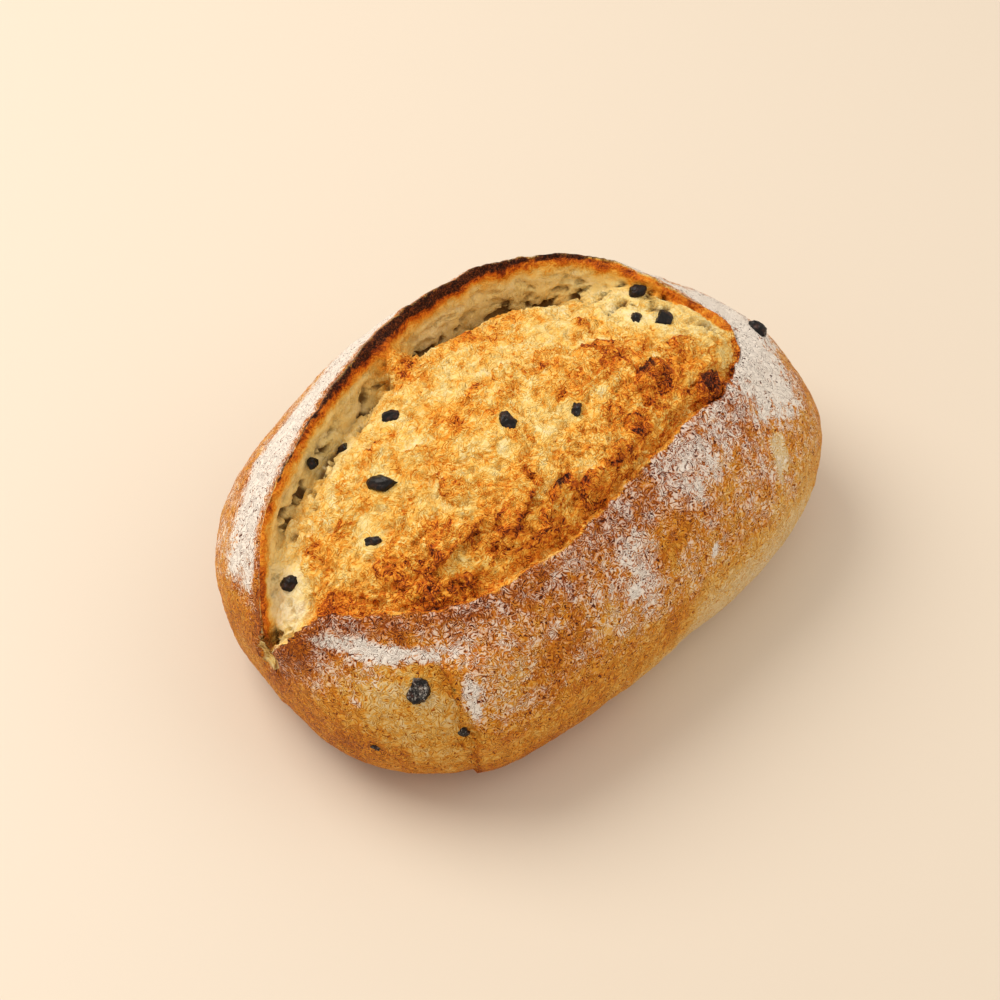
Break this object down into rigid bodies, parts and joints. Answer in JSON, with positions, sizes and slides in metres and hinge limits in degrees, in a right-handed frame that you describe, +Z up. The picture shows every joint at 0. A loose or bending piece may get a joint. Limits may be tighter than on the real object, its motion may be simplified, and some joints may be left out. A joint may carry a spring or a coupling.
{
  "type": "sourdough loaf",
  "caption": "Oval artisan bread loaf with one long slash that burst open beside a raised ear of crust, with chopped black olives baked in and a flat base.",
  "frame": {"origin": "middle of the loaf's footprint, on the surface that it rests on", "axes": "+Z up, +X along the loaf, +Y towards the long side where the ear of crust stands"},
  "size_m": [0.2316, 0.1686, 0.0996],
  "materials": {
    "crust_and_crumb": "matte floured crust with a golden porous crumb in the slash",
    "olive": "dark olive skin, satin"
  },
  "bodies": {
    "root": {"loaf": "crust_and_crumb", "olive_piece_01": "olive", "olive_piece_02": "olive", "olive_piece_03": "olive", "olive_piece_04": "olive", "olive_piece_05": "olive", "olive_piece_06": "olive", "olive_piece_07": "olive", "olive_piece_08": "olive", "olive_piece_09": "olive", "olive_piece_10": "olive", "olive_piece_11": "olive", "olive_piece_12": "olive", "olive_piece_13": "olive", "olive_piece_14": "olive", "olive_piece_15": "olive", "olive_piece_16": "olive", "olive_piece_17": "olive", "olive_piece_18": "olive", "olive_piece_19": "olive"}
  },
  "joints": []
}
